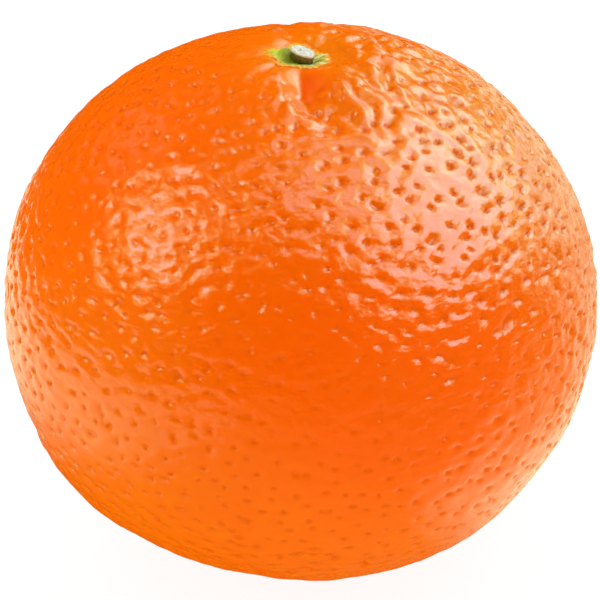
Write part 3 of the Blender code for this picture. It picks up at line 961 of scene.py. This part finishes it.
def makeStem(finish):
    columns = stem["columns"]
    angles, circle = unitCircle(columns)
    uneven = 1 + noiseSum(circle, stem["uneven"])
    ribs = stem["ribDepth"] * np.cos(stem["ribs"] * angles + noiseSum(circle, [stem["ribWander"]]))
    lowest = float(dipHeight(0.0, 0.0))
    cut = lowest + stem["cutHeight"]
    foot = lowest + stem["footHeight"]
    rimAt, rimWidth = stem["rimPlace"]
    drop, late = stem["edgeDrop"]
    rings, shares = [], []
    for row in range(1, stem["faceRows"] + 1):
        share = row / stem["faceRows"]
        x, y, _ = circle.T * stem["topRadius"] * uneven * share
        rim = stem["rimHeight"] * hump(share - rimAt, rimWidth) - drop * share**late
        rings.append(np.stack([x, y, cut - stem["slant"] * x + rim], 1))
        shares.append(np.full(columns, share))
    for row in range(1, stem["sideRows"] + 1):
        share = row / stem["sideRows"]
        radius = between((stem["footRadius"], stem["topRadius"]), (1 - share) ** stem["flare"])
        x, y, _ = circle.T * radius * uneven * (1 + ribs * min(1.0, stem["ribRise"] * share))
        top = cut - stem["slant"] * x - stem["sideDrop"]
        rings.append(np.stack([x + stem["lean"] * share, y, between((top, foot), share)], 1))
        shares.append(np.full(columns, 1 + share))
    points = np.concatenate(rings)
    share = np.concatenate(shares)
    side = share > 1
    rough = noiseSum(points, stem["rough"])
    outward = unitRows(points * [1, 1, 0] + [1e-9, 0, 0])  # the small part keeps rows from being all zero
    points[side] += outward[side] * rough[side][:, None]
    points[~side, 2] += stem["faceRough"] * rough[~side]
    away = np.hypot(points[:, 0] - stem["pith"][0], points[:, 1] - stem["pith"][1])
    pith = np.where(side, 0.0, hump(away, stem["pithRadius"]))
    points[:, 2] -= stem["pithDepth"] * pith
    points = np.concatenate([points, [[0, 0, cut], [stem["lean"], 0, foot]]])
    points += originShift + [*stem["middle"], 0]
    piece = addPiece("stemStub", points, closedFaces(len(rings), columns), finish, "cut_wood", "stem")
    addShares(piece, {"cutShare": np.append(share, [0.0, 2.0]), "pithShare": np.append(pith, [0.0, 0.0])})
    return piece


stemFinish = {
    "cut": ((0.40, 0.37, 0.30), (0.72, 0.70, 0.63)),
    "cutEdge": (0.36, 0.62),  # between which values of the grain it changes
    "rim": (0.50, 0.36, 0.18),
    "rimEdge": ((0.84, 0.97), (0.0, 0.85)),  # between which shares of the way out, and how strongly
    "pith": (0.10, 0.07, 0.03),
    "bark": ((0.080, 0.040, 0.004), (0.34, 0.20, 0.040)),
    "barkEdge": (0.3, 0.7),
    "barkBegins": (1.0, 1.06),  # from 1 at the cut to 2 at the foot
    # painted shade at the stub's foot, where it stands in the calyx
    "foot": (0.050, 0.040, 0.004),
    "footShadeEdge": (1.35, 1.75),
    "grain": (0.30 * mm, 4.0, 0.6),  # size, detail, roughness
    "grainHeight": 0.10 * mm,
    "roughness": 0.8,
    "sheenLevel": 0.25,
}


def makeStemFinish():
    finish, tree, shader = newFinish("cutStemWood")
    share = attributeNode(tree, "cutShare")  # up to 1 on the cut, from 1 to 2 down the side
    grain = noiseNode(tree, objectPlace(tree), *stemFinish["grain"])
    pale = mixColour(tree, rangeOf(tree, grain, stemFinish["cutEdge"]), *stemFinish["cut"])
    pale = mixColour(tree, rangeOf(tree, share, *stemFinish["rimEdge"]), pale, stemFinish["rim"])
    pale = mixColour(tree, attributeNode(tree, "pithShare"), pale, stemFinish["pith"])
    bark = mixColour(tree, rangeOf(tree, grain, stemFinish["barkEdge"]), *stemFinish["bark"])
    # painted shade towards the stub's foot
    bark = mixColour(tree, rangeOf(tree, share, stemFinish["footShadeEdge"]), bark, stemFinish["foot"])
    setInputs(tree, shader, {
        "Base Color": mixColour(tree, rangeOf(tree, share, stemFinish["barkBegins"]), pale, bark),
        "Roughness": stemFinish["roughness"],
        "Specular IOR Level": stemFinish["sheenLevel"],
        "Normal": bumpNode(tree, grain, stemFinish["grainHeight"]),
    })
    return finish


makeStem(makeStemFinish())


# A plain studio: a white table, large soft lights on the right and a small one on the left
white = (1.0, 1.0, 1.0)
sheenEnds = ("out", (0.12, 0.19), (1.0, 0.0))
studio = {
    "floorSize": 8.0,
    "floorColour": (0.14, 0.14, 0.14),
    "floorRoughness": 0.8,
    "floorGlow": (0.90, 1.36),  # as seen, as it lights the fruit from below
    "bounceColour": (1.0, 0.91, 0.17),
    # each light's name, angle round the axis and above the table, distance, size, brightness and the share
    # of its half size, from the middle, that is evenly bright
    "lights": [
        ("wallOfLight", -2, 42, 1.2, (2.8, 1.45), 5.5, 0.45),
        ("upperLight", -45, 80, 1.2, (1.4, 1.4), 3.0, 0.20),
        ("backLight", 56, 45, 1.3, (1.36, 1.40), 2.5, 0.32),
        ("horizonLight", 40, 10, 1.3, (1.8, 0.50), 1.9, 0.25),
        ("smallSoftLight", 196, 37, 1.0, (1.02, 1.05), 6.5, 0.12),
        ("dimLight", 138, 34, 1.2, (1.0, 0.8), 0.75, 0.0),
    ],
    "lightColour": ((0.28, 0.82, 0.22), (0.38, 0.98, 1.08)),  # at the edges, in the middle
    "lightsAim": (0.0, 0.0, 0.03),
    # the rings of panels that light the colours: how far above the table and how many, in degrees
    "panelRings": [(15, 8), (45, 6), (90, 1)],
    "panelDistance": 1.5,
    "ambience": (1.98, 0.78),  # on the far side, on the camera's side
    "ambienceTurns": (0.20, 0.95),  # how much a panel faces the camera where it changes from one to the other
    # What glossy finishes see of the table is the brightest of these areas. Each area is a product of slopes:
    # which way a slope goes, between which places in m, and from what brightness to what.
    "sheens": [
        [("Y", (-0.015, 0.035), (0.0, 1.85)), ("X", (-0.03, 0.03), (0.45, 1.0)),
         ("X", (0.030, 0.045), (1.0, 0.50)), ("Y", (0.060, 0.115), (1.0, 0.35)), sheenEnds],  # behind
        [("out", (0.085, 0.130), (0.14, 0.0)), sheenEnds],  # all round
        [("X", (-0.060, -0.030), (1.2, 0.0)), sheenEnds],  # on the left
        [("X", (0.016, 0.030), (0.0, 1.1)), ("X", (0.042, 0.070), (1.0, 0.42)),
         ("Y", (-0.050, -0.025), (0.0, 1.0)), sheenEnds],  # on the right
        [("X", (0.02, 0.12), (0.0, 1.3)), ("Y", (0.05, 0.15), (0.0, 1.0))],  # far behind on the right
    ],
    "sheenColour": (1.60, 1.70, 1.14),  # at its full brightness
    "fullSheen": 2.0,
    "leastSheen": (0.75, 0.125, 0.003),  # elsewhere, as from the fruit itself
    "shadeMiddle": (-0.015, 0.0, 0.0),
    "shadeReach": (0.020, 0.050),
    "cameraElevation": 27.0,
    "cameraDistance": 0.50,
    "frameWidth": 71.05 * mm,
    "sensorWidth": 36,
    "clipRange": (0.05, 50),
    "aimDrop": 1.5 * mm,
}


def addAreaLight(name, aim, way, distance, size, brightness):
    light = bpy.data.lights.new(name, "AREA")
    light.shape = "RECTANGLE"
    light.size, light.size_y = size
    light.energy = brightness * math.pi * size[0] * size[1]
    lamp = bpy.data.objects.new(name, light)
    lamp.location = Vector(aim) + way * distance
    lamp.rotation_mode = "QUATERNION"
    lamp.rotation_quaternion = (-way).to_track_quat("-Z", "Y")
    scene.collection.objects.link(lamp)
    return lamp, light


def addLight(name, around, above, distance, size, brightness, core):
    # a soft light that shines on glossy finishes and fades towards its edges; the room gives the rest
    way = Vector(wayTo(around, above))
    lamp, light = addAreaLight(name, studio["lightsAim"], way, distance, size, brightness)
    lamp.visible_diffuse = False
    light.use_nodes = True
    tree = light.node_tree
    middle = 0.5  # of a light, across which places go from 0 to 1
    parts = newNode(tree, "SeparateXYZ", {0: newNode(tree, "NewGeometry", {}).outputs["Parametric"]}).outputs
    fades = []
    for axis in (0, 1):
        away = mathNode(tree, "ABSOLUTE", mathNode(tree, "SUBTRACT", parts[axis], middle))
        fades.append(rangeOf(tree, away, (core * middle, middle), (1.0, 0.0)))
    fade = product(tree, *fades)
    colour = mixColour(tree, product(tree, fade, fade), *studio["lightColour"])
    setInputs(tree, tree.nodes["Emission"], {"Strength": fade, "Color": colour})


def tableSheen(tree, place):
    # how bright each place of the table is in glossy finishes, with a painted shadow of the fruit under it
    parts = newNode(tree, "SeparateXYZ", {0: place}).outputs
    ways = {"X": parts["X"], "Y": parts["Y"], "out": vectorNode(tree, "LENGTH", place)}
    brightest = None
    for area in studio["sheens"]:
        bright = product(tree, *(rangeOf(tree, ways[way], *ends) for way, *ends in area))
        brightest = mathNode(tree, "MAXIMUM", brightest, bright) if brightest else bright
    fromShade = vectorNode(tree, "LENGTH", vectorNode(tree, "SUBTRACT", place, studio["shadeMiddle"]))
    return product(tree, brightest, rangeOf(tree, fromShade, studio["shadeReach"]))


def makeFloorFinish():
    # a white table, which a glossy finish shows as bright behind the fruit and dim in front
    finish, tree, shader = newFinish("whiteTable")
    path = newNode(tree, "LightPath", {}).outputs
    diffuse = path["Is Diffuse Ray"]
    setInputs(tree, shader, {
        "Base Color": studio["floorColour"],
        "Roughness": studio["floorRoughness"],
        "Specular IOR Level": 0.0,
        "Emission Color": mixColour(tree, diffuse, white, studio["bounceColour"]),
        "Emission Strength": rangeOf(tree, diffuse, (0.0, 1.0), studio["floorGlow"]),
    })
    share = rangeOf(tree, tableSheen(tree, objectPlace(tree)), (0.0, studio["fullSheen"]))
    colour = mixColour(tree, share, studio["leastSheen"], studio["sheenColour"])
    sheen = newNode(tree, "Emission", {"Color": colour})
    mix = newNode(tree, "MixShader", {0: path["Is Glossy Ray"], 1: shader.outputs[0], 2: sheen.outputs[0]})
    setInputs(tree, tree.nodes["Material Output"], {"Surface": mix.outputs[0]})
    finish.cycles.emission_sampling = "NONE"
    return finish


def makeFloor():
    half = studio["floorSize"] / 2
    corners = [(-half, -half, 0), (half, -half, 0), (half, half, 0), (-half, half, 0)]
    data = bpy.data.meshes.new("studioFloor")
    data.from_pydata(corners, [], [(0, 1, 2, 3)])
    data.materials.append(makeFloorFinish())
    floor = bpy.data.objects.new("studioFloor", data)
    scene.collection.objects.link(floor)


def cameraWay():
    # from the fruit towards the camera
    elevation = math.radians(studio["cameraElevation"])
    return Vector((0, -math.cos(elevation), math.sin(elevation)))


def makeWorld():
    # white behind the fruit, and the dim warm colour of the table's shade in glossy finishes
    world = bpy.data.worlds.new("studioRoom")
    scene.world = world
    world.use_nodes = True
    tree = world.node_tree
    glossy = newNode(tree, "LightPath", {}).outputs["Is Glossy Ray"]
    setInputs(tree, tree.nodes["Background"], {"Color": mixColour(tree, glossy, white, studio["leastSheen"])})
    world.cycles_visibility.diffuse = False


def makeRoom():
    # panels all round give even light for the colours, a little stronger from the far side
    first, full = studio["ambienceTurns"]
    distance = studio["panelDistance"]
    lowest = 0.0  # each ring stands for the sky's heights from the lowest to the highest
    for above, count in studio["panelRings"]:
        highest = min(1.0, 2 * math.sin(math.radians(above)) - lowest) if above < 90 else 1.0
        reach = math.sqrt(math.tau * (highest - lowest) / count) * distance
        lowest = highest
        for step in range(count):
            way = Vector(wayTo(360 * (step + 0.5) / count, above))
            share = min(1.0, max(0.0, (way.dot(cameraWay()) - first) / (full - first)))
            brightness = between(studio["ambience"], share)
            panel, light = addAreaLight("roomPanel", (0, 0, 0), way, distance, (reach, reach), brightness)
            light.cycles.use_multiple_importance_sampling = False
            panel.visible_glossy = False
            panel.visible_camera = False


def makeCamera():
    data = bpy.data.cameras.new("studioCamera")
    camera = bpy.data.objects.new("studioCamera", data)
    scene.collection.objects.link(camera)
    back = cameraWay()
    middle = Vector((0, 0, cadHigh[2] / 2 - studio["aimDrop"]))
    camera.location = middle + back * studio["cameraDistance"]
    camera.rotation_mode = "QUATERNION"
    camera.rotation_quaternion = (-back).to_track_quat("-Z", "Y")
    data.sensor_width = studio["sensorWidth"]
    data.lens = studio["sensorWidth"] * studio["cameraDistance"] / studio["frameWidth"]
    data.clip_start, data.clip_end = studio["clipRange"]
    scene.camera = camera


makeFloor()
makeWorld()
makeRoom()
for lightValues in studio["lights"]:
    addLight(*lightValues)
makeCamera()
print("studio ready")
